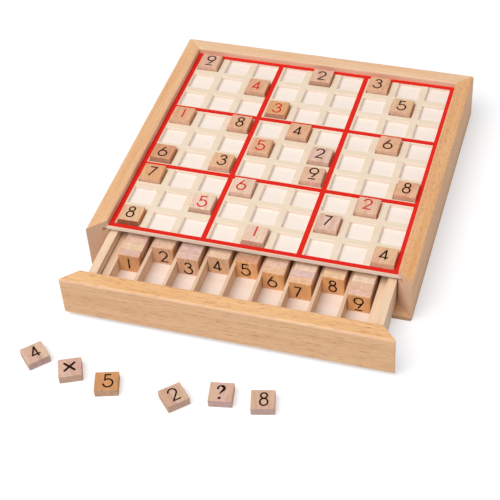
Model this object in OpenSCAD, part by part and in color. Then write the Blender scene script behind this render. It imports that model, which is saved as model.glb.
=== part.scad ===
// Wooden sudoku board: a mitred tray that holds a sunk board of square wells, a drawer of
// spare number tiles whose front is the fourth side of the frame, and the tiles.
// Millimetres, +Z up, +Y to the back. The origin is on the underside of the base panel,
// below the middle of the board. The drawer is drawn standing open.

/* [Tiles] */
// Side of a square number tile
tile_w = 20; // [16:0.5:24]
// Thickness of a number tile
tile_t = 8; // [6:0.5:10]
// Chamfer along every edge of a tile
tile_chamfer = 0.5; // [0.2:0.1:1]

/* [Board] */
// Play round a tile in its well, on each side
well_play = 1; // [0.5:0.1:2]
// Strip of the top sheet between two wells
cell_gap = 7.2; // [5:0.1:10]
// Width of the eased upper edge of a well
well_ease = 0.6; // [0.2:0.1:1]
// Strip between the outermost cells and the rails
edge_strip = 1.2; // [0.2:0.1:3]
// Distance by which the wells lie to the right of the middle of the frame
well_shift_x = 1; // [-1:0.1:1]
// Distance by which the wells lie to the back of the middle of the frame
well_shift_y = 0.5; // [-1:0.1:1]
// Thickness of the pierced top sheet, which is the depth of a well
sheet_t = 3.5; // [2:0.1:5]
// Thickness of the backing sheet under the wells
backing_t = 1.2; // [0.8:0.1:4]
// Reach of the board's front edge past the opening of the frame
front_lip = 0.8; // [0.5:0.1:3]
// Distance by which the backing sheet stays behind the front edge of the top sheet
backing_setback = 3; // [0:0.1:4]

/* [Frame] */
// Width of a rail, seen from above
rail_w = 15.5; // [12:0.5:22]
// Height of the rails above the surface of the board
rail_rise = 6; // [4:0.5:10]
// Depth of the groove that holds the board
groove_d = 4.5; // [3.5:0.1:7]
// Gap between the board's edge and the bottom of the groove
groove_gap = 0.5; // [0.2:0.1:1]
// Radius of the upright corners at the back, which are glued
back_corner_r = 5; // [1:0.1:8]
// Radius of the upright corners at the front, where the drawer opens
front_corner_r = 2; // [1:0.1:5]
// Radius of the outer top edges
edge_r = 2.5; // [0.5:0.1:3]
// Radius of the inner top edges
lip_r = 1.5; // [0.3:0.1:2]
// Thickness of the base panel
base_t = 4; // [3:0.1:6]

/* [Drawer] */
// Distance by which the drawer stands open
drawer_open = 64; // [0:1:80]
// Clearance under the drawer
slide_gap = 0.4; // [0.2:0.1:1]
// Clearance beside the drawer box, on each side
side_gap = 1; // [0.3:0.1:1.5]
// Clearance above and below the board in the groove of the drawer front
lip_gap = 0.3; // [0.2:0.1:0.6]
// Clearance between the drawer sides and the board
head_gap = 2; // [0.5:0.1:4]
// Room between the standing tiles and the board
tile_headroom = 4.9; // [2.5:0.1:10]
// Thickness of the drawer sides
side_t = 7.5; // [5:0.1:9]
// Thickness of the drawer back
back_t = 6; // [4:0.1:10]
// Thickness of the drawer bottom
bottom_t = 4; // [3:0.1:6]
// Free length left in a channel that holds all of its tiles
row_spare = 27; // [12:0.5:60]
// Gap between neighbouring tiles in a row
row_gap = 0.1; // [0.05:0.05:0.5]
// Distance by which the rows stand to the left of the middle of their channels
row_lean = 1.2; // [0:0.1:1.3]
// Thickness of a divider between two channels
divider_t = 3; // [2:0.1:4]
// Height of the dividers and of the packing strips
divider_h = 14.5; // [8:0.5:18]
// Width of the packing strip beside each outer channel
packing_w = 7.2; // [4:0.1:10]
// Crack between a packing strip and the drawer side
packing_gap = 0.8; // [0.2:0.1:2]

/* [Loose tiles] */
// Distance in front of the drawer over which the loose tiles lie
loose_reach = 70; // [60:1:120]

/* [Hidden] */
$fn = 64;
// Length by which every cut runs past the face that it opens
overrun = 1;

// Rows, columns and digits of the puzzle
cells = 9;
middle = (cells + 1) / 2;

// Plan of the board and the frame
well_w = tile_w + 2 * well_play;
cell_pitch = well_w + cell_gap;
opening = cells * cell_pitch + 2 * edge_strip;
board_w = opening + 2 * rail_w;
tongue = groove_d - groove_gap;

// Heights above the table
drawer_z = base_t + slide_gap;
channel_z = drawer_z + bottom_t;
board_z = channel_z + tile_w + tile_headroom;
board_t = backing_t + sheet_t;
sheet_z = board_z + backing_t;
rail_top = board_z + board_t + rail_rise;
side_top = board_z - head_gap;

// Plan of the drawer box
box_w = opening - 2 * side_gap;
box_inner_w = box_w - 2 * side_t;
channels_w = box_inner_w - 2 * (packing_gap + packing_w);
channel_w = (channels_w - (cells - 1) * divider_t) / cells;
channel_pitch = channel_w + divider_t;
row_pitch = tile_t + row_gap;
channel_l = cells * row_pitch + row_spare;
channel_front = -opening / 2 - drawer_open;
channel_back = channel_front + channel_l;
drawer_face = channel_front - rail_w;

// Tiles on the board: row from the back, column from the left, digit
board_tiles = [
    [1, 1, 9], [1, 5, 2], [1, 7, 3],
    [2, 3, 4], [2, 8, 5],
    [3, 4, 3],
    [4, 1, 1], [4, 3, 8], [4, 5, 4], [4, 8, 6],
    [5, 4, 5], [5, 6, 2],
    [6, 1, 6], [6, 3, 3], [6, 6, 9], [6, 9, 8],
    [7, 1, 7], [7, 4, 6], [7, 8, 2],
    [8, 3, 5], [8, 7, 7],
    [9, 1, 8], [9, 5, 1], [9, 9, 4],
];

// Loose tiles in front of the drawer, from the left: sign, turn in degrees, and place as
// shares of the board's width from the middle and of the reach from the drawer front
loose_signs = [4, "cross", 5, 2, "query", 8];
loose_turns = [46, 24, 17, 44, 10, 14];
loose_place_shares = [
    [-0.515, 0.775], [-0.395, 0.89], [-0.275, 0.985], [-0.075, 0.985], [0.05, 0.81], [0.17, 0.8],
];

// Distance of each digit's row from the drawer back, as shares of a tile's thickness
row_lag_shares = [0.35, 0.35, 0.3, 0.35, 0.3, 0.25, 0, 0.4, 0.3];

function board_tile_name(t) = str("board_tile_r", t[0], "c", t[1]);
function loose_tile_name(i) = str("loose_tile_", loose_signs[i]);
function row_name(digit) = str("tile_row_", digit);

// Centre of a cell of the board
function cell_place(row, column) =
    [(column - middle) * cell_pitch + well_shift_x, (middle - row) * cell_pitch + well_shift_y];

// Tiles of one digit that are neither on the board nor loose
function tiles_left(digit) =
    cells
    - len([for (t = board_tiles) if (t[2] == digit) t])
    - len([for (s = loose_signs) if (s == digit) s]);

// What a round of radius r takes off a corner at the origin that lies towards +X and +Y
module round_waste(r) {
    difference() {
        translate([-overrun, -overrun])
            square(r + overrun);
        translate([r, r])
            circle(r);
    }
}

// Outline of the closed frame, with its rounded upright corners
module frame_plan() {
    difference() {
        square(board_w, center = true);
        for (turn = [0 : 90 : 270])
            rotate(turn)
                translate([-board_w / 2, -board_w / 2])
                    round_waste(turn < 180 ? front_corner_r : back_corner_r);
    }
}

// Section of the rail moulding: x runs inwards from the outer face, y runs up
module rail_section(bottom, play) {
    difference() {
        translate([0, bottom])
            square([rail_w, rail_top - bottom]);
        translate([rail_w - groove_d, board_z - play])
            square([groove_d + overrun, board_t + 2 * play]);
        translate([0, rail_top])
            mirror([0, 1])
                round_waste(edge_r);
        translate([rail_w, rail_top])
            rotate(180)
                round_waste(lip_r);
    }
}

// One side of the closed frame, turned from the front: the moulding, cut to 45 degrees at both ends
module mitred_rail(turn, bottom, play) {
    intersection() {
        rotate(turn)
            translate([-board_w / 2, -board_w / 2, 0])
                rotate([90, 0, 90])
                    linear_extrude(board_w)
                        rail_section(bottom, play);
        linear_extrude(rail_top)
            intersection() {
                frame_plan();
                rotate(turn)
                    polygon([[-board_w / 2, -board_w / 2], [board_w / 2, -board_w / 2], [0, 0]]);
            }
    }
}

// Outline of a sheet of the board, whose back and sides reach into the grooves
module board_plan(lip) {
    translate([-opening / 2 - tongue, -opening / 2 - lip])
        square([opening + 2 * tongue, opening + tongue + lip]);
}

// Rectangle about the origin with its corners cut off
module chamfered_rectangle(w, h) {
    x = w / 2;
    y = h / 2;
    c = tile_chamfer;
    polygon([
        [c - x, -y], [x - c, -y], [x, c - y], [x, y - c],
        [x - c, y], [c - x, y], [-x, y - c], [-x, c - y],
    ]);
}

// A number tile about the origin, its number side up
module tile() {
    intersection() {
        linear_extrude(tile_t, center = true)
            chamfered_rectangle(tile_w, tile_w);
        intersection_for (turn = [0, 90])
            rotate([90, 0, turn])
                linear_extrude(tile_w, center = true)
                    chamfered_rectangle(tile_w, tile_t);
    }
}

module base_panel() {
    color("#D8B48C")
        linear_extrude(base_t)
            frame_plan();
}

module left_rail() {
    color("#E2B184")
        mitred_rail(-90, base_t, 0);
}

module right_rail() {
    color("#E2B184")
        mitred_rail(90, base_t, 0);
}

module back_rail() {
    color("#E2B184")
        mitred_rail(180, base_t, 0);
}

module board_backing() {
    color("#FBF1E4")
        translate([0, 0, board_z])
            linear_extrude(backing_t)
                board_plan(front_lip - backing_setback);
}

// Section of a well through the top sheet, with its eased upper edges, drawn past both faces
module well_section() {
    x = well_w / 2;
    top_x = x + well_ease + overrun;
    top = sheet_t + overrun;
    ease_z = sheet_t - well_ease;
    polygon([
        [-x, -overrun], [x, -overrun], [x, ease_z],
        [top_x, top], [-top_x, top], [-x, ease_z],
    ]);
}

// What a well takes out of the top sheet
module well_waste() {
    intersection_for (turn = [0, 90])
        rotate([90, 0, turn])
            linear_extrude(cell_pitch, center = true)
                well_section();
}

module board_sheet() {
    color("#F1E6CF")
        translate([0, 0, sheet_z])
            difference() {
                linear_extrude(sheet_t)
                    board_plan(front_lip);
                for (row = [1 : cells], column = [1 : cells])
                    translate(cell_place(row, column))
                        well_waste();
            }
}

module drawer_front() {
    color("#DDAE78")
        translate([0, -drawer_open, 0])
            mitred_rail(0, drawer_z, lip_gap);
}

// A side of the drawer box, its outer face towards -X
module drawer_side() {
    translate([-box_w / 2, channel_front, drawer_z])
        cube([side_t, channel_l + back_t, side_top - drawer_z]);
}

module drawer_left_side() {
    color("#EEDBC4")
        drawer_side();
}

module drawer_right_side() {
    color("#EEDBC4")
        mirror([1, 0, 0])
            drawer_side();
}

module drawer_back() {
    color("#EEDBC4")
        translate([-box_inner_w / 2, channel_back, channel_z])
            cube([box_inner_w, back_t, side_top - channel_z]);
}

module drawer_bottom() {
    color("#F7EDE2")
        translate([-box_inner_w / 2, channel_front, drawer_z])
            cube([box_inner_w, channel_l + back_t, bottom_t]);
}

// The strip that fills the box between its left side and the first channel
module packing_strip() {
    translate([packing_gap - box_inner_w / 2, channel_front, channel_z])
        cube([packing_w, channel_l, divider_h]);
}

module left_packing_strip() {
    color("#EBD3B8")
        packing_strip();
}

module right_packing_strip() {
    color("#EBD3B8")
        mirror([1, 0, 0])
            packing_strip();
}

module channel_dividers() {
    color("#EBD3B8")
        for (i = [1 : cells - 1])
            translate([i * channel_pitch - divider_t - channels_w / 2, channel_front, channel_z])
                cube([divider_t, channel_l, divider_h]);
}

// A tile in its well on the board
module board_tile(row, column) {
    color("#E3B98C")
        translate(concat(cell_place(row, column), sheet_z + tile_t / 2))
            tile();
}

// A tile on the table in front of the drawer
module loose_tile(i) {
    color("#E3B98C")
        translate([
            loose_place_shares[i][0] * board_w,
            drawer_face - loose_place_shares[i][1] * loose_reach,
            tile_t / 2,
        ])
            rotate(loose_turns[i])
                tile();
}

// The spare tiles of one digit, on edge in their channel
module tile_row(digit) {
    row_back = channel_back - row_lag_shares[digit - 1] * tile_t;
    color("#D9A06A")
        for (i = [1 : tiles_left(digit)])
            translate([
                (digit - middle) * channel_pitch - row_lean,
                row_back - i * row_pitch + tile_t / 2,
                channel_z + tile_w / 2,
            ])
                rotate([90, 0, 0])
                    tile();
}

base_panel();
left_rail();
right_rail();
back_rail();
board_backing();
board_sheet();
drawer_front();
drawer_left_side();
drawer_right_side();
drawer_back();
drawer_bottom();
left_packing_strip();
right_packing_strip();
channel_dividers();
for (t = board_tiles)
    board_tile(t[0], t[1]);
for (i = [0 : len(loose_signs) - 1])
    loose_tile(i);
for (digit = [1 : cells])
    tile_row(digit);
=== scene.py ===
"""Looks of the wooden sudoku board, laid out as a Blender add-on and run as a script.

The solids of the tray, the board and the drawer keep their meshes and get their finishes here.
The number tiles are made here, with softened edges and painted signs, and stand for their solids.
"""

import math
import random

import bmesh
import bpy
from bpy.props import FloatProperty, FloatVectorProperty, IntProperty, PointerProperty
from mathutils import Matrix, Vector


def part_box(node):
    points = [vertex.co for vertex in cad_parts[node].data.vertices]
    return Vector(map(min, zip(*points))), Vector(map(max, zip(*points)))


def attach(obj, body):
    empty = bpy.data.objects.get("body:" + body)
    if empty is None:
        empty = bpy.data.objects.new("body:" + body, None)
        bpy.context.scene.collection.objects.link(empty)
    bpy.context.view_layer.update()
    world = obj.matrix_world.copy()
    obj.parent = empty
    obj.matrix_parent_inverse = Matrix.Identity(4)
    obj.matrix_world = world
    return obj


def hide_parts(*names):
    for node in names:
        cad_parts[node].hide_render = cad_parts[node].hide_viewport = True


bl_info = {
    "name": "Wooden sudoku board",
    "version": (1, 0, 0),
    "blender": (4, 5, 0),
    "location": "3D View > Sidebar > Sudoku",
    "description": "Finishes the packed sudoku board, paints its signs and sets its stage",
    "category": "Object",
}

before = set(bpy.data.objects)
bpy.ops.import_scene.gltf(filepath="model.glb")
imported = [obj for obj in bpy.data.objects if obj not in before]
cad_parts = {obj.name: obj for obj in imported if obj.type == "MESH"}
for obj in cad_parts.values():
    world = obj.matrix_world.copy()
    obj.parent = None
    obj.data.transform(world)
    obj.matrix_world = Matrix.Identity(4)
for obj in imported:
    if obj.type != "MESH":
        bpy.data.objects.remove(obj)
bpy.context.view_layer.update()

MM = 0.001
MERGE = 0.001 * MM  # points closer than this are one
BLOCK_LINES = (-0.5, 0.5)  # lines between the blocks, in blocks from the middle of the board
CAP_STEPS = 9  # steps of the round end of a painted stroke
AXIS_SHARE = 0.8  # a tile's face looks along an axis when its normal has more than this share of it
TABLE_HALF = 3  # half the side of the table, in metres
TABLE_DROP = 0.1 * MM  # how far the table lies below the set, so that the two faces don't mix
SENSOR_MM = 36  # width of the camera's sensor

WAVE_UNIT = 0.314  # distance between the rings of a Wave Texture of scale 1
FIBRES_PER_MM = (1.4, 0.04, 1.4)  # real fibres are under 0.1 mm, drawn 0.7 mm wide so that they show
ROUGH_SPREAD = 0.06  # how much rougher or smoother a wood is from fibre to fibre
THIN_INK = 1.3  # how much lighter a paint is where it is thin
EDGE_HIGHLIGHT = 1.4  # how strongly the pale tone is painted on a rail's rounded edges as a highlight
PAINTED_INNER_FILL = 0.6  # share of the pale tone on a rail's inner face, painted there as fill light in its shade
SAWN_MITRE = 0.6  # share of the pale tone on a rail's mitre
SAWN_END = 0.55  # share of the end tone on a tile's sawn end
# Tints that the tone of a tile is multiplied by
PINKER, YELLOWER = (1.0, 0.95, 1.02, 1.0), (1.0, 1.04, 0.92, 1.0)
LATE_WOOD = (0.78, 0.68, 0.6, 1.0)

# Rails: axis of the grain, share of the ray flecks, their length in widths, share of the pale tone
# on the outer face as painted light from the white floor, which way the inner face looks along the axis
# across the rail, and the node
RAILS = {
    "back": ("X", 0.25, 13, 0.2, -1, "back_rail"), "left": ("Y", 0.25, 13, 0.2, 1, "left_rail"),
    "right": ("Y", 0.6, 8, 0.05, -1, "right_rail"), "front": ("X", 0.75, 15, 0.22, 1, "drawer_front"),
}

# Tiles in the wells, by row from the back and column from the left:
# sign, ink, tone of the wood, look of its sides, and how far off the middle its sign is printed, in mm
BOARD_TILES = {
    (1, 1): ("9", "black", "rosy", "plain", (0.4, -0.2)),
    (1, 5): ("2", "black", "rosy", "ruddy", (0, -0.4)),
    (1, 7): ("3", "black", "apricot", "clear", (-1, -0.2)),
    (2, 3): ("4", "red", "apricot", "amber", (0, -0.2)),
    (2, 8): ("5", "black", "tan", "amber", (-0.2, 0.2)),
    (3, 4): ("3", "red", "golden", "ruddy", (0.2, -0.6)),
    (4, 1): ("1", "red", "apricot", "plain", (0.8, 0.6)),
    (4, 3): ("8", "black", "apricot", "amber", (0.4, 0)),
    (4, 5): ("4", "black", "apricot", "amber", (0, -0.4)),
    (4, 8): ("6", "black", "apricot", "plain", (-0.4, -1.2)),
    (5, 4): ("5", "red", "apricot", "plain", (0.2, -0.4)),
    (5, 6): ("2", "black", "mauve", "amber", (-1, 1)),
    (6, 1): ("6", "black", "russet", "ruddy", (0.6, -0.2)),
    (6, 3): ("3", "black", "apricot", "plain", (0.4, 0.6)),
    (6, 6): ("9", "black", "rosy", "plain", (0.2, 0.8)),
    (6, 9): ("8", "black", "apricot", "amber", (-0.4, 1)),
    (7, 1): ("7", "black", "golden", "plain", (0, 0)),
    (7, 4): ("6", "red", "pale", "plain", (-1, 0.4)),
    (7, 8): ("2", "red", "rosy", "clear", (-0.6, 1)),
    (8, 3): ("5", "red", "pale", "dull", (-0.2, -0.2)),
    (8, 7): ("7", "black", "mauve", "clear", (-0.6, 1.2)),
    (9, 1): ("8", "black", "tan", "burnt", (-0.4, 1)),
    (9, 5): ("1", "red", "pale", "dull", (-0.4, 3)),
    (9, 9): ("4", "black", "tan", "clear", (-0.2, 0.8)),
}
# Loose tiles: turn on the table in degrees, tone of the wood and of its sawn ends,
# and how far off the middle the sign is printed, in mm
LOOSE_TILES = {
    "4": (46, "dusky", "end_mauve", (1.2, 1)), "cross": (24, "dusky", "end_grain", (-0.2, 0.6)),
    "5": (17, "honey", "end_grain", (1.4, 0.2)), "2": (44, "dusky", "end_grain", (0.2, -0.2)),
    "query": (10, "dusky", "end_mauve", (-0.4, -0.4)), "8": (14, "dusky", "end_mauve", (0.8, 0.2)),
}
# Rows of spare tiles: tone of the front tile of each digit and of its sawn ends,
# and how far off the middle its sign is printed, in mm
ROW_TILES = {
    "1": ("golden", "end_mauve", (-0.4, 0.2)), "2": ("tan", "end_grain", (1, -0.8)),
    "3": ("tan", "end_mauve", (0.2, -1.6)), "4": ("tan", "end_straw", (-0.4, 0.2)),
    "5": ("sunny", "end_russet", (-1, 0.6)), "6": ("sunny", "end_grain", (-0.8, -0.2)),
    "7": ("sunny", "end_grain", (-1.8, -1.1)), "8": ("sunny", "end_straw", (-0.4, 0)),
    "9": ("sunny", "end_mauve", (-0.2, -0.4)),
}
# Tones of the spare tiles behind the front one, which are drawn by lot
ROW_TONES = ("pale", "mauve", "rosy", "tan", "apricot")
ROW_ENDS = ("end_grain", "end_mauve", "end_straw")
# Looks of a tile's sides: how amber the long sides are, and how burnt the sawn ends are
SIDES = {
    "plain": (0.15, 0.0), "dull": (0.3, 0.24), "amber": (0.9, 0.15),
    "clear": (0.9, 0.0), "ruddy": (0.45, 0.45), "burnt": (1.0, 0.88),
}


def linear(code):
    """Scene-linear colour of an sRGB hex value."""
    shares = [int(code[i:i + 2], 16) / 255 for i in (1, 3, 5)]
    return [s / 12.92 if s <= 0.04045 else ((s + 0.055) / 1.055) ** 2.4 for s in shares]


def length(name, description, default):
    """A size of the set that a user may change."""
    return FloatProperty(name=name, description=description, default=default, min=0, unit="LENGTH", precision=5)


def colour(name, description, code):
    """A colour of the set that a user may change, given as sRGB hex."""
    return FloatVectorProperty(name=name, description=description, default=linear(code),
                               size=3, min=0, max=1, subtype="COLOR")


class SudokuSizes(bpy.types.PropertyGroup):
    """Sizes of what is made here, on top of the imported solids."""
    tile_side: length("Tile side", "Side of a square number tile", 20 * MM)
    tile_thickness: length("Tile thickness", "Thickness of a number tile", 8 * MM)
    tile_edge: length("Tile edge", "Radius of the softened edges of a tile", 0.6 * MM)
    well_slack: length("Well slack", "How far a tile may lie off the middle of its well", 0.3 * MM)
    row_slack: length("Row slack", "How far a spare tile may stand out of its row", 0.25 * MM)
    stroke: length("Stroke", "Width of the strokes of a painted digit", 1.5 * MM)
    film: length("Paint film", "Height of the paint above the wood", 0.05 * MM)
    line_width: length("Line width", "Width of the painted lines between the blocks", 4.9 * MM)
    edge_line: length("Edge line", "Width of the painted lines along the rails and the front edge", 4.6 * MM)
    cell_pitch: length("Cell pitch", "Distance from well to well", 29.2 * MM)
    seed: IntProperty(name="Seed", description="Sets how the tiles happen to lie and how they are sawn", default=9)


class SudokuColours(bpy.types.PropertyGroup):
    """Colours of the woods and paints."""
    back_light: colour("Back rail, light", "Early wood of the back rail", "#F1D0AE")
    back_dark: colour("Back rail, dark", "Late wood of the back rail", "#E4B58C")
    left_light: colour("Left rail, light", "Early wood of the left rail", "#EEC59B")
    left_dark: colour("Left rail, dark", "Late wood of the left rail", "#DEA675")
    right_light: colour("Right rail, light", "Early wood of the right rail", "#E8B888")
    right_dark: colour("Right rail, dark", "Late wood of the right rail", "#D99D68")
    front_light: colour("Drawer front, light", "Early wood of the drawer front", "#F1C695")
    front_dark: colour("Drawer front, dark", "Late wood of the drawer front", "#DFA66E")
    beech_fleck: colour("Beech fleck", "Ray flecks of the beech", "#A65E30")
    sheet: colour("Top sheet", "Lacquered face of the pierced top sheet", "#F0E1CF")
    sheet_grain: colour("Top sheet grain", "Grain of the top sheet", "#E8D5BA")
    # The well walls show the core, and this tone is set paler than the face as painted light bounced into the
    # wells
    sheet_core: colour("Top sheet core", "Sawn walls of the wells", "#F3E4D8")
    backing: colour("Backing", "Face of the backing, at the bottom of the wells", "#F6EDE7")
    backing_grain: colour("Backing grain", "Grain of the backing", "#F3E6DE")
    bottom: colour("Drawer bottom", "Face of the drawer bottom", "#F5E8E0")
    bottom_grain: colour("Drawer bottom grain", "Grain of the drawer bottom", "#F1E0D4")
    drawer_light: colour("Drawer wood, light", "Pale wood of the drawer box", "#F5DEC5")
    drawer_dark: colour("Drawer wood, dark", "Grain of the drawer box", "#E2BE9C")
    strip_light: colour("Strip, light", "Wood of the strips between the channels", "#EBD0B6")
    strip_dark: colour("Strip, dark", "Grain of the strips between the channels", "#D8B391")
    ply_face: colour("Plywood face", "Face plies of the base panel", "#DDBB96")
    ply_core: colour("Plywood core", "Core ply of the base panel", "#B58C66")
    golden: colour("Golden tile", "Tile of golden beech", "#E9B587")
    sunny: colour("Sunny tile", "Tile of bright golden beech", "#F4C08C")
    apricot: colour("Apricot tile", "Tile of reddish gold beech", "#ECBD9E")
    russet: colour("Russet tile", "Tile of dark reddish beech", "#E2AD8A")
    rosy: colour("Rosy tile", "Tile of pinkish beech", "#EBC3AF")
    mauve: colour("Mauve tile", "Tile of greyish pink beech", "#ECCBC0")
    tan: colour("Tan tile", "Tile of light brown beech", "#EDC6A7")
    pale: colour("Pale tile", "Tile of very light beech", "#F5D9C9")
    dusky: colour("Dusky tile", "Tile of dull pinkish beech", "#DCBDAE")
    honey: colour("Honey tile", "Tile of deep orange beech", "#D5A070")
    amber: colour("Amber side", "What a reddish long side takes off the tone", "#F6CDA8")
    burnt: colour("Burnt end", "Sawn end that the saw has scorched", "#9C5A38")
    end_grain: colour("End grain", "Tint of the sawn ends of most tiles", "#F8DDCE")
    end_mauve: colour("Mauve end", "Tint of the greyish pink ends of some tiles", "#EEDCE6")
    end_straw: colour("Straw end", "Tint of the yellowish ends of some spare tiles", "#FFF4DF")
    end_russet: colour("Russet end", "Tint of the reddish ends of some spare tiles", "#D4A8A4")
    # On the mitres this pale tone is the end grain; on the rails' sides, inner faces and rounded edges it is
    # painted light and a painted highlight
    mitre: colour("Mitre", "Pale tone of the rails' mitres, sides and worn edges", "#E6C8B4")
    line_red: colour("Line red", "Enamel of the block lines", "#DA281E")
    black: colour("Black ink", "Ink of most signs", "#241009")
    red: colour("Red ink", "Ink of the red digits", "#C8241E")


class SudokuView(bpy.types.PropertyGroup):
    """Camera and light."""
    azimuth: FloatProperty(name="Azimuth", description="Camera's turn to the right of the drawer front",
                           default=math.radians(19.61), subtype="ANGLE")
    elevation: FloatProperty(name="Elevation", description="Camera's angle above the table",
                             default=math.radians(44.27), subtype="ANGLE")
    roll: FloatProperty(name="Roll", description="Camera's turn about its own axis",
                        default=math.radians(-4.27), subtype="ANGLE")
    distance: length("Distance", "From the camera to the point that it looks at", 1.19021)
    target: FloatVectorProperty(name="Target", description="Point in the middle of the picture",
                                default=(0.00077, -0.13307, 0.038), subtype="TRANSLATION", unit="LENGTH")
    lens: FloatProperty(name="Lens", description="Focal length for a 36 mm sensor", default=98.05,
                        subtype="DISTANCE_CAMERA")
    key_power: FloatProperty(name="Key power", description="Power of the large soft lamp at the upper left",
                             default=95, subtype="POWER")
    key_size: length("Key size", "Diameter of the soft lamp", 3.2)
    key_place: FloatVectorProperty(name="Key place", description="Where the soft lamp hangs",
                                   default=(-0.85, -1.45, 2.95), subtype="TRANSLATION", unit="LENGTH")
    side_power: FloatProperty(name="Side power", description="Power of the weak lamp low on the right",
                              default=4, subtype="POWER")
    side_size: length("Side size", "Diameter of the weak lamp", 2.0)
    side_place: FloatVectorProperty(name="Side place", description="Where the weak lamp hangs",
                                    default=(2.2, -1.6, 1.0), subtype="TRANSLATION", unit="LENGTH")
    lamp_aim: FloatVectorProperty(name="Lamp aim", description="Point that both lamps look at",
                                  default=(0, -0.05, 0), subtype="TRANSLATION", unit="LENGTH")
    lamp_colour: colour("Lamp colour", "Slightly warm light of the lamps", "#FFFBF6")
    fill_colour: colour("Fill colour", "Plain light from all round", "#FFFDFA")
    fill: FloatProperty(name="Fill", description="Brightness of the even light from all round", default=0.4, min=0)
    table_colour: colour("Table", "Matt white of the table", "#D4D8DE")
    table_lift: FloatProperty(name="Table lift", description="How much the table is brightened where it is seen",
                              default=0.41, min=0)


def add(tree, kind, inputs=None, **settings):
    """Adds a node with its settings, and fills its inputs with values or links."""
    made = tree.nodes.new(kind)
    for name, value in settings.items():
        setattr(made, name, value)
    for key, value in (inputs or {}).items():
        if isinstance(value, bpy.types.NodeSocket):
            tree.links.new(value, made.inputs[key])
        else:
            made.inputs[key].default_value = value
    return made


def rgba(value):
    """A colour property as a socket takes it."""
    return (*value, 1.0)


def new_material(name):
    """A material with an empty tree and its output."""
    material = bpy.data.materials.new(name)
    material.use_nodes = True
    material.node_tree.nodes.clear()
    return material, material.node_tree, material.node_tree.nodes.new("ShaderNodeOutputMaterial")


def grain_place(tree, along):
    """Object coordinates in millimetres, turned so that the grain runs along the second axis."""
    turn = {"X": (0, 0, math.pi / 2), "Y": (0, 0, 0)}[along]
    where = add(tree, "ShaderNodeTexCoord").outputs["Object"]
    return add(tree, "ShaderNodeMapping", {"Vector": where, "Rotation": turn, "Scale": (1 / MM,) * 3}).outputs[0]


def wood_grain(tree, place, light, dark, fleck, band_mm, fleck_mm, fleck_share, ring_share, fleck_run=13):
    """Colour, fibre and flecks of a sawn wood whose grain runs along the second axis of place."""
    # Growth rings: wide soft bands along the grain on a face, curved lines on a sawn end
    across, run, ring_mm = 1 / band_mm, 1 / (band_mm * 22), 0.55 * band_mm
    bands = add(tree, "ShaderNodeTexNoise", {
        "Vector": add(tree, "ShaderNodeMapping", {"Vector": place, "Scale": (across, run, across)}).outputs[0],
        "Scale": 1.0, "Detail": 3.0, "Roughness": 0.6, "Distortion": 0.4}).outputs[0]
    rings = add(tree, "ShaderNodeTexWave", {
        "Vector": add(tree, "ShaderNodeMapping", {"Vector": place, "Scale": (1, 0.06, 1)}).outputs[0],
        "Scale": WAVE_UNIT / ring_mm, "Distortion": 3.0, "Detail": 2.0, "Detail Scale": 0.25,
        "Detail Roughness": 0.5}, wave_type="RINGS", rings_direction="Y", wave_profile="SAW").outputs[1]
    soft = add(tree, "ShaderNodeMapRange", {
        "Value": bands, "From Min": 0.3, "From Max": 0.7, "To Min": -0.1, "To Max": 0.7}).outputs[0]
    depth = add(tree, "ShaderNodeMath", {0: rings, 1: ring_share, 2: soft}, operation="MULTIPLY_ADD").outputs[0]
    body = add(tree, "ShaderNodeMix", {0: depth, 6: light, 7: dark}, data_type="RGBA").outputs[2]
    fibre = add(tree, "ShaderNodeTexNoise", {
        "Vector": add(tree, "ShaderNodeMapping", {"Vector": place, "Scale": FIBRES_PER_MM}).outputs[0],
        "Scale": 1.0, "Detail": 2.0, "Roughness": 0.6}).outputs[0]
    # Ray flecks: real ones are 0.3 mm wide, drawn wider so that they show
    flecks = add(tree, "ShaderNodeMapRange", {
        "Value": add(tree, "ShaderNodeTexNoise", {
            "Vector": add(tree, "ShaderNodeMapping", {
                "Vector": place, "Scale": (1 / fleck_mm, 1 / (fleck_run * fleck_mm), 1 / fleck_mm)}).outputs[0],
            "Scale": 1.0, "Detail": 1.0, "Roughness": 0.4}).outputs[0],
        "From Min": 0.6, "From Max": 0.72, "To Max": fleck_share}).outputs[0]
    lined = add(tree, "ShaderNodeMix", {
        0: add(tree, "ShaderNodeMapRange", {"Value": fibre, "From Min": 0.5, "From Max": 0.8,
                                            "To Max": 0.5}).outputs[0],
        6: body, 7: dark}, data_type="RGBA").outputs[2]
    return add(tree, "ShaderNodeMix", {0: flecks, 6: lined, 7: fleck}, data_type="RGBA").outputs[2], fibre


def sawn_finish(tree, output, colour_socket, fibre, rough, relief, gloss=0.5):
    """A sanded wood surface: fibres give it a little relief and an uneven gloss."""
    roughness = add(tree, "ShaderNodeMapRange", {
        "Value": fibre, "From Min": 0.3, "From Max": 0.7,
        "To Min": rough - ROUGH_SPREAD, "To Max": rough + ROUGH_SPREAD}).outputs[0]
    bump = add(tree, "ShaderNodeBump", {"Height": fibre, "Strength": relief, "Distance": 0.1 * MM}).outputs[0]
    shader = add(tree, "ShaderNodeBsdfPrincipled", {
        "Base Color": colour_socket, "Roughness": roughness, "Normal": bump, "IOR": 1.5,
        "Specular IOR Level": gloss})
    tree.links.new(shader.outputs[0], output.inputs["Surface"])


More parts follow.
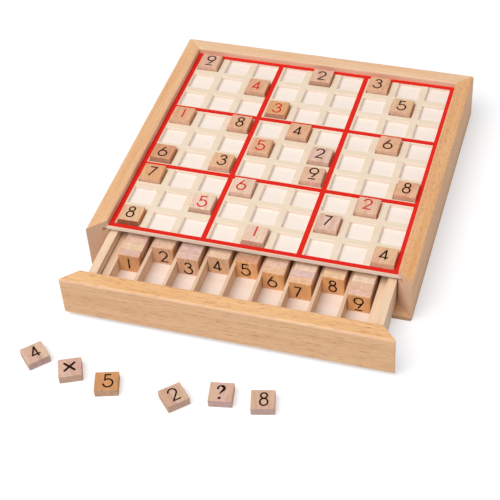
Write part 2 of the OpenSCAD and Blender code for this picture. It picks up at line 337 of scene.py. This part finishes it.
def oiled_beech(rail, along, fleck_share, fleck_run, pale_share, inward, colours):
    """Planed and oiled beech: warm satin, straight grain, short brown ray flecks, pale end grain on the mitres,
    and a pale tone painted on the sides as floor light, on the inner faces as fill light and on the rounded edges
    as a highlight.
    """
    material, tree, output = new_material("oiled_beech_" + rail)
    light, dark = getattr(colours, rail + "_light"), getattr(colours, rail + "_dark")
    painted, fibre = wood_grain(tree, grain_place(tree, along), rgba(light), rgba(dark),
                                rgba(colours.beech_fleck), band_mm=5, fleck_mm=0.6, fleck_share=fleck_share,
                                ring_share=0.25, fleck_run=fleck_run)
    normal = add(tree, "ShaderNodeSeparateXYZ", {0: add(tree, "ShaderNodeTexCoord").outputs["Normal"]}).outputs
    # Painted light: the pale tone goes on upright faces for the light of the white floor, on rounded edges as a
    # highlight, and on inner faces as fill light in their shade; the mitres take it as their own end grain
    level = add(tree, "ShaderNodeMath", {0: normal["Z"]}, operation="ABSOLUTE").outputs[0]
    upright = add(tree, "ShaderNodeMath", {0: 1.0, 1: level}, operation="SUBTRACT").outputs[0]
    edge = add(tree, "ShaderNodeMath", {0: level, 1: upright}, operation="MULTIPLY").outputs[0]
    highlighted = add(tree, "ShaderNodeMath", {0: edge, 1: EDGE_HIGHLIGHT}, operation="MULTIPLY").outputs[0]
    outer = add(tree, "ShaderNodeMath", {0: upright, 1: pale_share, 2: highlighted}, operation="MULTIPLY_ADD").outputs[0]
    across = normal["Y" if along == "X" else "X"]
    inner = add(tree, "ShaderNodeMath", {0: across, 1: PAINTED_INNER_FILL * inward},
                operation="MULTIPLY", use_clamp=True).outputs[0]
    share = add(tree, "ShaderNodeMath", {0: outer, 1: inner}, operation="MAXIMUM").outputs[0]
    pale = rgba(colours.mitre)
    with_painted_light = add(tree, "ShaderNodeMix", {0: share, 6: painted, 7: pale}, data_type="RGBA").outputs[2]
    slant = add(tree, "ShaderNodeMath", {0: normal[along]}, operation="ABSOLUTE").outputs[0]
    sawn = add(tree, "ShaderNodeMapRange", {
        "Value": slant, "From Min": 0.5, "From Max": 0.68, "To Max": SAWN_MITRE}).outputs[0]
    ended = add(tree, "ShaderNodeMix", {0: sawn, 6: with_painted_light, 7: pale}, data_type="RGBA").outputs[2]
    sawn_finish(tree, output, ended, fibre, rough=0.48, relief=0.25, gloss=0.25)
    return material


def bare_lime(name, wood, along, colours):
    """Sanded bare pale wood of the drawer box: matt, with faint straight grain."""
    material, tree, output = new_material(name)
    light, dark = getattr(colours, wood + "_light"), getattr(colours, wood + "_dark")
    painted, fibre = wood_grain(tree, grain_place(tree, along), rgba(light), rgba(dark), rgba(dark),
                                band_mm=4, fleck_mm=1.0, fleck_share=0.4, ring_share=0.3)
    sawn_finish(tree, output, painted, fibre, rough=0.6, relief=0.3, gloss=0.3)
    return material


def faced_sheet(name, face, core, rough, colours):
    """Thin sheet faced with pale veneer: nearly even, a trace of grain, and its core showing where it is sawn; a
    core tone paler than the face also paints the light bounced onto those walls.
    """
    material, tree, output = new_material(name)
    veneer, grain = rgba(getattr(colours, face)), rgba(getattr(colours, face + "_grain"))
    painted, fibre = wood_grain(tree, grain_place(tree, "X"), veneer, grain, grain,
                                band_mm=9, fleck_mm=1.2, fleck_share=0.3, ring_share=0.15)
    # Upright faces take the core tone: the sawn core, and on the board sheet also painted light in the wells
    level = add(tree, "ShaderNodeSeparateXYZ", {0: add(tree, "ShaderNodeTexCoord").outputs["Normal"]}).outputs["Z"]
    flat = add(tree, "ShaderNodeMath", {0: level}, operation="ABSOLUTE").outputs[0]
    shown = add(tree, "ShaderNodeMix", {0: flat, 6: rgba(getattr(colours, core)), 7: painted},
                data_type="RGBA").outputs[2]
    sawn_finish(tree, output, shown, fibre, rough=rough, relief=0.1, gloss=0.3)
    return material


def bare_plywood(name, colours):
    """Three-ply base panel: pale face plies, and a darker core that shows as a line along its edge."""
    material, tree, output = new_material(name)
    place = grain_place(tree, "X")
    painted, fibre = wood_grain(tree, place, rgba(colours.ply_face), rgba(colours.ply_core),
                                rgba(colours.beech_fleck), band_mm=6, fleck_mm=0.9, fleck_share=0.3,
                                ring_share=0.2)
    height = add(tree, "ShaderNodeSeparateXYZ", {0: place}).outputs["Z"]
    middle_mm, half_mm = 2.0, 0.7  # the core ply, from the underside of the panel
    core = add(tree, "ShaderNodeMath", {0: height, 1: middle_mm, 2: half_mm}, operation="COMPARE").outputs[0]
    plies = add(tree, "ShaderNodeMix", {
        0: add(tree, "ShaderNodeMath", {0: core, 1: 0.8}, operation="MULTIPLY").outputs[0],
        6: painted, 7: rgba(colours.ply_core)}, data_type="RGBA").outputs[2]
    sawn_finish(tree, output, plies, fibre, rough=0.65, relief=0.3)
    return material


def tile_beech(name, colours):
    """Sanded beech tile: its own tone, patchy long grain on the face, amber sides and rings on its sawn ends."""
    material, tree, output = new_material(name)
    says = {key: add(tree, "ShaderNodeAttribute", attribute_name=key).outputs for key in (
        "grain_co", "grain_shift", "grain_tilt", "tone", "end_tone", "end_grain", "side_grain",
        "amber_share", "burnt_share")}
    end = says["end_grain"]["Fac"]
    leaning = add(tree, "ShaderNodeVectorRotate", {
        "Vector": says["grain_co"]["Vector"], "Angle": says["grain_tilt"]["Fac"]},
        rotation_type="Z_AXIS").outputs[0]
    place = add(tree, "ShaderNodeVectorMath", {0: leaning, 1: says["grain_shift"]["Vector"]},
                operation="ADD").outputs[0]
    # Patches of yellower and pinker wood, about a third of the tile wide
    patch = add(tree, "ShaderNodeTexNoise", {
        "Vector": add(tree, "ShaderNodeMapping", {"Vector": place, "Scale": (1 / 6, 1 / 20, 1 / 6)}).outputs[0],
        "Scale": 1.0, "Detail": 2.0, "Roughness": 0.6, "Distortion": 0.6}).outputs[0]
    hue = add(tree, "ShaderNodeMix", {
        0: add(tree, "ShaderNodeMapRange", {"Value": patch, "From Min": 0.35, "From Max": 0.65}).outputs[0],
        6: PINKER, 7: YELLOWER}, data_type="RGBA").outputs[2]
    face = add(tree, "ShaderNodeMix", {0: 1.0, 6: says["tone"]["Color"], 7: hue},
               data_type="RGBA", blend_type="MULTIPLY").outputs[2]
    flank = add(tree, "ShaderNodeMix", {
        0: add(tree, "ShaderNodeMath", {0: says["side_grain"]["Fac"], 1: says["amber_share"]["Fac"]},
               operation="MULTIPLY").outputs[0],
        6: face, 7: rgba(colours.amber)}, data_type="RGBA", blend_type="MULTIPLY").outputs[2]
    sawn = add(tree, "ShaderNodeMix", {
        0: add(tree, "ShaderNodeMath", {0: end, 1: SAWN_END}, operation="MULTIPLY").outputs[0],
        6: flank, 7: says["end_tone"]["Color"]}, data_type="RGBA").outputs[2]
    scorched = add(tree, "ShaderNodeMix", {
        0: add(tree, "ShaderNodeMath", {0: end, 1: says["burnt_share"]["Fac"]}, operation="MULTIPLY").outputs[0],
        6: sawn, 7: rgba(colours.burnt)}, data_type="RGBA").outputs[2]
    dark = add(tree, "ShaderNodeMix", {0: 1.0, 6: scorched, 7: LATE_WOOD},
               data_type="RGBA", blend_type="MULTIPLY").outputs[2]
    rings = add(tree, "ShaderNodeMapRange", {"Value": end, "To Min": 0.3, "To Max": 0.55}).outputs[0]
    painted, fibre = wood_grain(tree, place, scorched, dark, rgba(colours.beech_fleck),
                                band_mm=4.5, fleck_mm=0.6, fleck_share=0.4, ring_share=rings)
    sawn_finish(tree, output, painted, fibre, rough=0.6, relief=0.25, gloss=0.2)
    return material


def printed_ink(name, ink, rough):
    """Paint printed on sanded wood: thin and slightly uneven, with the fibres just telling through it."""
    material, tree, output = new_material(name)
    where = add(tree, "ShaderNodeTexCoord").outputs["Object"]
    cover = add(tree, "ShaderNodeTexNoise", {"Vector": where, "Scale": 0.5 / MM, "Detail": 3.0}).outputs[0]
    thin = tuple(min(1.0, c * THIN_INK) for c in ink)
    painted = add(tree, "ShaderNodeMix", {
        0: add(tree, "ShaderNodeMapRange", {"Value": cover, "From Min": 0.45, "From Max": 0.75}).outputs[0],
        6: rgba(ink), 7: rgba(thin)}, data_type="RGBA").outputs[2]
    sawn_finish(tree, output, painted, cover, rough=rough, relief=0.15, gloss=0.05)
    return material


def finish_nodes(material, *names):
    """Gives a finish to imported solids, which keep their meshes."""
    for name in names:
        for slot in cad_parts[name].material_slots:
            slot.material = material


def new_object(name, mesh):
    """An object at the origin, in the scene."""
    made = bpy.data.objects.new(name, mesh)
    bpy.context.scene.collection.objects.link(made)
    return made


def mesh_of(bm, name):
    """Turns a bmesh into a mesh with flat faces."""
    mesh = bpy.data.meshes.new(name)
    bm.to_mesh(mesh)
    bm.free()
    return mesh


def film_mesh(bm, name, height):
    """Joins the flat faces of a film of paint, gives them their height, and turns them into a closed mesh."""
    bmesh.ops.remove_doubles(bm, verts=bm.verts, dist=MERGE)
    raised = bmesh.ops.extrude_face_region(bm, geom=bm.faces[:])["geom"]
    bmesh.ops.translate(bm, verts=[g for g in raised if isinstance(g, bmesh.types.BMVert)], vec=(0, 0, height))
    bmesh.ops.recalc_face_normals(bm, faces=bm.faces)
    return mesh_of(bm, name)


def settle(piece):
    """Turns what the piece's modifiers make into its plain mesh, and removes them."""
    graph = bpy.context.evaluated_depsgraph_get()
    made = bpy.data.meshes.new_from_object(piece.evaluated_get(graph), preserve_all_data_layers=True,
                                           depsgraph=graph)
    piece.modifiers.clear()
    piece.data = made
    made.name = piece.name
    return piece


def arc(centre, radii, start, end, step=9):
    """Points of an elliptical arc, with angles in degrees, either way round."""
    count = max(3, round(abs(end - start) / step))
    angles = [math.radians(start + (end - start) * i / count) for i in range(count + 1)]
    return [(centre[0] + radii[0] * math.cos(a), centre[1] + radii[1] * math.sin(a)) for a in angles]


def ring(centre, radii):
    """Points of a whole ellipse, without the last one, which is the first."""
    return arc(centre, radii, 90, 450)[:-1]


# Strokes of each sign, in millimetres from the middle of the tile: points, width in strokes, closed
SIGNS = {
    "1": [([(0, -5.7), (0, 5.7)], 1, False)],
    "2": [(arc((-0.3, 3), (3.5, 3.6), 168, -35) + [(-2.9, -5.9), (3.2, -5.9)], 1, False)],
    "3": [(arc((0.1, 3.75), (2.7, 2.8), 165, -90), 1, False),
          (arc((-0.1, -2.9), (3.8, 3.85), 90, -165), 1, False)],
    "4": [([(2.6, -3.6), (-4.1, -3.6), (0.4, 5.4)], 1, False), ([(0.4, 5.4), (1, -5.6)], 1, False)],
    "5": [([(1.9, 6.5), (-2.6, 6.5)] + arc((0, -2.4), (4, 4.3), 133, -165), 1, False)],
    "6": [([(0.2, 5.9), (-3.5, -0.6)], 1, False), (ring((-0.1, -2.5), (3.9, 3.9)), 1, True)],
    "7": [([(-2.9, 5.8), (2.6, 5.8), (-1.7, -5.7)], 1, False)],
    "8": [(ring((0, 3.75), (2.6, 2.75)), 1, True), (ring((0, -2.95), (3.2, 3.6)), 1, True)],
    "9": [(ring((0.1, 3.8), (3.9, 3.9)), 1, True), ([(3.5, 1.9), (-0.2, -4.6)], 1, False),
          ([(-2.6, -7.1), (3, -7.1)], 1, False)],
    "cross": [([(-4.2, -3.9), (4.2, 3.9)], 1.45, False), ([(-4.2, 3.9), (4.2, -3.9)], 1.45, False)],
    "query": [(arc((0, 3.9), (2.75, 2.7), 175, 40), 0.95, False),
              (arc((0, 3.9), (2.75, 2.7), 70, -40), 1.6, False),
              ([(2.1, 2.1), (0.8, 0.3)], 1.3, False), ([(1.2, 0.9), (-0.3, -1.5)], 0.85, False),
              ([(-2.5, 3.75), (-2.4, 3.75)], 1.35, False), ([(-0.4, -6.3), (-0.3, -6.3)], 1.7, False)],
}


def stroke_mesh(name, points, width, closed, low, high):
    """A painted stroke: a flat ribbon with round ends that follows its points, as a closed film."""
    path = [Vector(p) * MM for p in points]
    half, count = width / 2, len(path)
    left, right = [], []
    for i, here in enumerate(path):
        ways = []
        if closed or i > 0:
            ways.append((here - path[i - 1]).normalized())
        if closed or i < count - 1:
            ways.append((path[(i + 1) % count] - here).normalized())
        along = sum(ways, Vector((0, 0))).normalized()
        reach = half / max(0.5, along.dot(ways[0]))  # a mitre, at most twice the half width
        side = Vector((-along.y, along.x)) * reach
        left.append(here + side)
        right.append(here - side)
    faces = [(left[i - 1], left[i], right[i], right[i - 1]) for i in range(0 if closed else 1, count)]
    if not closed:
        for centre, start, end in ((path[0], left[0], right[0]), (path[-1], right[-1], left[-1])):
            turn = Matrix.Rotation(math.pi / CAP_STEPS, 2)
            spoke, cap = start - centre, [start]
            for _ in range(CAP_STEPS - 1):
                spoke = turn @ spoke
                cap.append(centre + spoke)
            faces.append(tuple(cap + [end]))
    bm = bmesh.new()
    for face in faces:
        bm.faces.new([bm.verts.new((p.x, p.y, low)) for p in face])
    return film_mesh(bm, name, high - low)


def sign_master(sign, sizes):
    """The painted sign of a tile, about the middle of the tile, with its strokes made one."""
    top = sizes.tile_thickness / 2
    low, high = top - sizes.film, top + sizes.film
    strokes = []
    for i, (points, width, closed) in enumerate(SIGNS[sign]):
        name = f"stroke_{sign}_{i}"
        strokes.append(new_object(name, stroke_mesh(name, points, width * sizes.stroke, closed, low, high)))
    for other in strokes[1:]:
        joined = strokes[0].modifiers.new(other.name, "BOOLEAN")
        joined.operation, joined.solver, joined.object = "UNION", "EXACT", other
    settle(strokes[0])
    for other in strokes[1:]:
        bpy.data.objects.remove(other)
    return strokes[0]


def tile_master(sizes):
    """A number tile about its middle, with softened edges, grain coordinates, and its ends and sides marked."""
    bm = bmesh.new()
    bmesh.ops.create_cube(bm, size=1)
    bmesh.ops.scale(bm, verts=bm.verts, vec=(sizes.tile_side, sizes.tile_side, sizes.tile_thickness))
    bmesh.ops.bevel(bm, geom=bm.edges[:], offset=sizes.tile_edge, segments=3, profile=0.5, affect="EDGES")
    place = bm.verts.layers.float_vector.new("grain_co")
    for vert in bm.verts:
        vert[place] = vert.co / MM
    ends, flanks = bm.faces.layers.float.new("end_grain"), bm.faces.layers.float.new("side_grain")
    for face in bm.faces:
        face[ends] = 1.0 if abs(face.normal.y) > AXIS_SHARE else 0.0
        face[flanks] = 1.0 if abs(face.normal.x) > AXIS_SHARE else 0.0
    return new_object("tile_master", mesh_of(bm, "tile_master"))


def set_out_tree():
    """Geometry Nodes: a tile on every point, turned as the point says, and a sign on the marked ones."""
    tree = bpy.data.node_groups.new("tiles_set_out", "GeometryNodeTree")
    for name, kind in (("Points", "Geometry"), ("Tile", "Object"), ("Sign", "Object"),
                       ("Wood", "Material"), ("Ink", "Material")):
        tree.interface.new_socket(name, in_out="INPUT", socket_type=f"NodeSocket{kind}")
    tree.interface.new_socket("Tiles", in_out="OUTPUT", socket_type="NodeSocketGeometry")
    given = tree.nodes.new("NodeGroupInput").outputs
    turn = add(tree, "GeometryNodeInputNamedAttribute", {"Name": "turn"}, data_type="FLOAT_VECTOR").outputs[0]
    marked = add(tree, "GeometryNodeInputNamedAttribute", {"Name": "marked"}, data_type="BOOLEAN").outputs[0]
    off = add(tree, "GeometryNodeInputNamedAttribute", {"Name": "sign_shift"}, data_type="FLOAT_VECTOR").outputs[0]
    facing = add(tree, "FunctionNodeEulerToRotation", {0: turn}).outputs[0]
    joined = tree.nodes.new("GeometryNodeJoinGeometry")
    for what, finish, chosen, moved in (("Sign", "Ink", marked, off), ("Tile", "Wood", True, (0, 0, 0))):
        master = add(tree, "GeometryNodeObjectInfo", {
            "Object": given[what], "As Instance": True}).outputs["Geometry"]
        copies = add(tree, "GeometryNodeInstanceOnPoints", {
            "Points": given["Points"], "Selection": chosen, "Instance": master, "Rotation": facing}).outputs[0]
        laid = add(tree, "GeometryNodeTranslateInstances", {"Instances": copies, "Translation": moved}).outputs[0]
        real = add(tree, "GeometryNodeRealizeInstances", {0: laid}).outputs[0]
        dressed = add(tree, "GeometryNodeSetMaterial", {"Geometry": real, "Material": given[finish]}).outputs[0]
        tree.links.new(dressed, joined.inputs[0])
    add(tree, "NodeGroupOutput", {0: joined.outputs[0]})
    return tree


def tile_kit():
    """What all the tiles share: the tree, the master tile, one master for each sign, and the finishes."""
    scene = bpy.context.scene
    sizes, colours = scene.sudoku_sizes, scene.sudoku_colours
    return {
        "tree": set_out_tree(), "tile": tile_master(sizes),
        "signs": {sign: sign_master(sign, sizes) for sign in SIGNS},
        "wood": tile_beech("tile_beech", colours),
        "black": printed_ink("black_ink", tuple(colours.black), 0.5),
        "red": printed_ink("red_ink", tuple(colours.red), 0.5),
    }


# What a tile says about itself: its name, its kind, and whether only the setting out needs it
TILE_SAYS = (("turn", "FLOAT_VECTOR", True), ("marked", "BOOLEAN", True), ("sign_shift", "FLOAT_VECTOR", True),
             ("tone", "FLOAT_VECTOR", False), ("end_tone", "FLOAT_VECTOR", False),
             ("grain_shift", "FLOAT_VECTOR", False), ("grain_tilt", "FLOAT", False),
             ("amber_share", "FLOAT", False), ("burnt_share", "FLOAT", False))


def set_out(name, kit, sign, ink, tiles):
    """Makes one body's tiles, each from its place and what it says about itself."""
    points = bpy.data.meshes.new(name)
    points.from_pydata([one["place"] for one in tiles], [], [])
    for key, kind, _ in TILE_SAYS:
        layer = points.attributes.new(key, kind, "POINT")
        for i, one in enumerate(tiles):
            setattr(layer.data[i], "vector" if kind == "FLOAT_VECTOR" else "value", one[key])
    piece = new_object(name, points)
    modifier = piece.modifiers.new("set_out", "NODES")
    modifier.node_group = kit["tree"]
    given = {"Tile": kit["tile"], "Sign": kit["signs"][sign], "Wood": kit["wood"], "Ink": kit[ink]}
    for socket in kit["tree"].interface.items_tree:
        if socket.in_out == "INPUT" and socket.name in given:
            modifier[socket.identifier] = given[socket.name]
    settle(piece)
    for key, _, passing in TILE_SAYS:
        if passing and key in piece.data.attributes:
            piece.data.attributes.remove(piece.data.attributes[key])
    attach(piece, name)
    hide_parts(name)
    piece.name = name + "_painted"
    return piece


def drop_masters(kit):
    """Removes the masters, which are no pieces of the set."""
    for master in (kit["tile"], *kit["signs"].values()):
        bpy.data.objects.remove(master)


def tile(place, turn, tone, end_tone, sides, off, draw, marked=True):
    """One tile: where it lies, how it is turned, its wood, and where in its plank it was sawn."""
    amber, burnt = SIDES[sides]
    return {
        "place": place, "turn": turn, "marked": marked, "sign_shift": (off[0] * MM, off[1] * MM, 0),
        "tone": tone, "end_tone": end_tone,
        # Place in the plank, in millimetres: its heart lies above or below the tile
        "grain_shift": (draw.uniform(-15, 15), draw.uniform(-400, 400),
                        draw.uniform(20, 50) * draw.choice((-1, 1))),
        "grain_tilt": math.radians(draw.uniform(-18, 18)), "amber_share": amber, "burnt_share": burnt}


class SUDOKU_OT_tray(bpy.types.Operator):
    """Finishes the rails and the base panel"""
    bl_idname = "sudoku.tray"
    bl_label = "Tray"

    def execute(self, context):
        colours = context.scene.sudoku_colours
        for rail, (*look, name) in RAILS.items():
            finish_nodes(oiled_beech(rail, *look, colours), name)
        finish_nodes(bare_plywood("bare_plywood", colours), "base_panel")
        return {"FINISHED"}


class SUDOKU_OT_board(bpy.types.Operator):
    """Finishes the board and paints its block lines"""
    bl_idname = "sudoku.board"
    bl_label = "Board"

    def execute(self, context):
        sizes, colours = context.scene.sudoku_sizes, context.scene.sudoku_colours
        finish_nodes(faced_sheet("lacquered_veneer", "sheet", "sheet_core", 0.5, colours), "board_sheet")
        finish_nodes(faced_sheet("white_veneer", "backing", "backing", 0.55, colours), "board_backing")
        self.paint_lines(sizes, colours)
        return {"FINISHED"}

    def paint_lines(self, sizes, colours):
        """One thin film: the lines between the blocks, and the outer ones along the rails."""
        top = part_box("board_sheet")[1].z
        half, block = sizes.line_width / 2, 3 * sizes.cell_pitch
        edge = -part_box("left_rail")[1].x - sizes.film  # just short of the rails' inner faces
        breaks = [-edge, sizes.edge_line - edge]
        for line in BLOCK_LINES:
            breaks += [line * block - half, line * block + half]
        breaks += [edge - sizes.edge_line, edge]
        bm = bmesh.new()
        for i in range(len(breaks) - 1):
            for j in range(len(breaks) - 1):
                if i % 2 == 0 or j % 2 == 0:
                    x0, x1, y0, y1 = breaks[i], breaks[i + 1], breaks[j], breaks[j + 1]
                    bm.faces.new([bm.verts.new((x, y, top - sizes.film))
                                  for x, y in ((x0, y0), (x1, y0), (x1, y1), (x0, y1))])
        lines = new_object("block_lines", film_mesh(bm, "block_lines", 2 * sizes.film))
        lines.data.materials.append(printed_ink("red_enamel", tuple(colours.line_red), 0.4))
        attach(lines, "tray")


class SUDOKU_OT_drawer(bpy.types.Operator):
    """Finishes the drawer box, its strips and its dividers"""
    bl_idname = "sudoku.drawer"
    bl_label = "Drawer"

    def execute(self, context):
        colours = context.scene.sudoku_colours
        finish_nodes(bare_lime("bare_lime_deep", "drawer", "Y", colours), "drawer_left_side", "drawer_right_side",
                     "left_packing_strip", "right_packing_strip")
        finish_nodes(bare_lime("bare_lime_across", "drawer", "X", colours), "drawer_back")
        finish_nodes(bare_lime("bare_lime_strip", "strip", "Y", colours), "channel_dividers")
        finish_nodes(faced_sheet("bare_veneer", "bottom", "bottom", 0.6, colours), "drawer_bottom")
        return {"FINISHED"}


class SUDOKU_OT_tiles(bpy.types.Operator):
    """Makes the number tiles in the wells, on the table and in the drawer, with their painted signs"""
    bl_idname = "sudoku.tiles"
    bl_label = "Number tiles"

    def execute(self, context):
        sizes, colours = context.scene.sudoku_sizes, context.scene.sudoku_colours
        kit = tile_kit()
        draw = random.Random(sizes.seed)
        for (row, column), (sign, ink, tone, sides, off) in BOARD_TILES.items():
            name = f"board_tile_r{row}c{column}"
            slack = Vector((draw.uniform(-1, 1), draw.uniform(-1, 1), 0)) * sizes.well_slack
            turn = (0, 0, math.radians(draw.uniform(-1, 1)))
            set_out(name, kit, sign, ink, [
                tile(self.middle(name) + slack, turn, getattr(colours, tone), colours.end_grain,
                     sides, off, draw)])
        for sign, (turn, tone, end, off) in LOOSE_TILES.items():
            name = "loose_tile_" + sign
            set_out(name, kit, sign, "black", [
                tile(self.middle(name), (0, 0, math.radians(turn)), getattr(colours, tone), getattr(colours, end),
                     "dull", off, draw)])
        for sign, (tone, end, off) in ROW_TILES.items():
            self.make_row(sign, tone, end, off, kit, sizes, colours, draw)
        drop_masters(kit)
        return {"FINISHED"}

    def middle(self, name):
        """Middle of a packed tile."""
        low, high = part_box(name)
        return (low + high) / 2

    def make_row(self, sign, tone, end, off, kit, sizes, colours, draw):
        """The spare tiles of one digit, on edge in their channel, the front one showing its sign."""
        name = "tile_row_" + sign
        low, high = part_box(name)
        count = round((high.y - low.y) / sizes.tile_thickness)
        pitch = (high.y - low.y - sizes.tile_thickness) / (count - 1)
        tiles = []
        for i in range(count):
            side = draw.uniform(-1, 1) * sizes.row_slack
            if i > 0:
                tone, end = draw.choice(ROW_TONES), draw.choice(ROW_ENDS)
            middle = self.middle(name)
            place = (middle.x + side, low.y + sizes.tile_thickness / 2 + i * pitch, middle.z)
            tiles.append(tile(place, (math.pi / 2, 0, 0), getattr(colours, tone), getattr(colours, end),
                              "plain", off, draw, marked=i == 0))
        set_out(name, kit, sign, "black", tiles)


class SUDOKU_OT_stage(bpy.types.Operator):
    """Makes the floor, the light and the camera"""
    bl_idname = "sudoku.stage"
    bl_label = "Stage"

    def execute(self, context):
        view = context.scene.sudoku_view
        context.scene.view_settings.view_transform = "Standard"
        self.make_floor(view)
        self.make_light(context.scene, view)
        self.make_camera(context.scene, view)
        return {"FINISHED"}

    def seen(self, tree):
        """1 for rays that show the backdrop: from the camera, from gloss and through glass."""
        path = add(tree, "ShaderNodeLightPath").outputs
        either = add(tree, "ShaderNodeMath", {0: path["Is Camera Ray"], 1: path["Is Glossy Ray"]},
                     operation="MAXIMUM").outputs[0]
        return add(tree, "ShaderNodeMath", {0: either, 1: path["Is Transmission Ray"]},
                   operation="MAXIMUM").outputs[0]

    def make_floor(self, view):
        """A white table that keeps the shadows of the set."""
        bm = bmesh.new()
        bmesh.ops.create_grid(bm, x_segments=4, y_segments=4, size=TABLE_HALF)
        bmesh.ops.translate(bm, verts=bm.verts, vec=(0, 0, -TABLE_DROP))
        floor = new_object("floor", mesh_of(bm, "floor"))
        material, tree, output = new_material("white_table")
        matt = add(tree, "ShaderNodeBsdfDiffuse", {"Color": rgba(view.table_colour)}).outputs[0]
        lift = add(tree, "ShaderNodeMath", {0: self.seen(tree), 1: view.table_lift},
                   operation="MULTIPLY").outputs[0]
        glow = add(tree, "ShaderNodeEmission", {"Color": (1, 1, 1, 1), "Strength": lift}).outputs[0]
        tree.links.new(add(tree, "ShaderNodeAddShader", {0: matt, 1: glow}).outputs[0], output.inputs["Surface"])
        floor.data.materials.append(material)

    def make_light(self, scene, view):
        """Even light from all round, one soft lamp at the upper left, and a weak one that opens the shadows."""
        world = bpy.data.worlds.new("white_studio")
        scene.world = world
        world.use_nodes = True
        tree = world.node_tree
        tree.nodes.clear()
        seen = self.seen(tree)
        level = add(tree, "ShaderNodeMapRange", {"Value": seen, "To Min": view.fill, "To Max": 1.0}).outputs[0]
        tint = add(tree, "ShaderNodeMix", {0: seen, 6: rgba(view.fill_colour), 7: (1, 1, 1, 1)},
                   data_type="RGBA").outputs[2]
        sky = add(tree, "ShaderNodeBackground", {"Color": tint, "Strength": level}).outputs[0]
        add(tree, "ShaderNodeOutputWorld", {"Surface": sky})
        for name in ("key", "side"):
            lamp = bpy.data.lights.new(name + "_lamp", "AREA")
            lamp.shape, lamp.color = "DISK", view.lamp_colour
            lamp.size, lamp.energy = getattr(view, name + "_size"), getattr(view, name + "_power")
            hung = bpy.data.objects.new(name + "_lamp", lamp)
            hung.location = getattr(view, name + "_place")
            hung.rotation_euler = (Vector(view.lamp_aim) - hung.location).to_track_quat("-Z", "Y").to_euler()
            scene.collection.objects.link(hung)

    def make_camera(self, scene, view):
        """The photograph's view."""
        camera = bpy.data.objects.new("camera", bpy.data.cameras.new("camera"))
        camera.data.sensor_fit, camera.data.sensor_width, camera.data.lens = "HORIZONTAL", SENSOR_MM, view.lens
        camera.data.clip_start, camera.data.clip_end = 0.05, 50
        a, e = view.azimuth, view.elevation
        back = Vector((math.cos(e) * math.sin(a), -math.cos(e) * math.cos(a), math.sin(e)))
        level = Vector((math.cos(a), math.sin(a), 0))
        right = Matrix.Rotation(view.roll, 3, back) @ level
        up = back.cross(right)
        place = Matrix((right, up, back)).transposed().to_4x4()
        place.translation = Vector(view.target) + back * view.distance
        camera.matrix_world = place
        scene.collection.objects.link(camera)
        scene.camera = camera


class SUDOKU_PT_sidebar(bpy.types.Panel):
    """Lists what the add-on makes"""
    bl_idname = "SUDOKU_PT_sidebar"
    bl_label = "Sudoku board"
    bl_space_type = "VIEW_3D"
    bl_region_type = "UI"
    bl_category = "Sudoku"

    def draw(self, context):
        for operator in OPERATORS:
            self.layout.operator(operator.bl_idname)
        for group in (context.scene.sudoku_sizes, context.scene.sudoku_colours, context.scene.sudoku_view):
            box = self.layout.box()
            for key in group.__annotations__:
                box.prop(group, key)


OPERATORS = (SUDOKU_OT_tray, SUDOKU_OT_board, SUDOKU_OT_drawer, SUDOKU_OT_tiles, SUDOKU_OT_stage)
GROUPS = {"sudoku_sizes": SudokuSizes, "sudoku_colours": SudokuColours, "sudoku_view": SudokuView}


def register():
    """Registers the settings, the operators and the panel."""
    for name, group in GROUPS.items():
        bpy.utils.register_class(group)
        setattr(bpy.types.Scene, name, PointerProperty(type=group))
    for cls in (*OPERATORS, SUDOKU_PT_sidebar):
        bpy.utils.register_class(cls)


def unregister():
    """Removes what register added."""
    for cls in (SUDOKU_PT_sidebar, *reversed(OPERATORS)):
        bpy.utils.unregister_class(cls)
    for name, group in GROUPS.items():
        delattr(bpy.types.Scene, name)
        bpy.utils.unregister_class(group)


def main():
    """Makes the whole set."""
    register()
    for make in (bpy.ops.sudoku.stage, bpy.ops.sudoku.tray, bpy.ops.sudoku.board, bpy.ops.sudoku.drawer,
                 bpy.ops.sudoku.tiles):
        make()


if __name__ == "__main__":
    main()
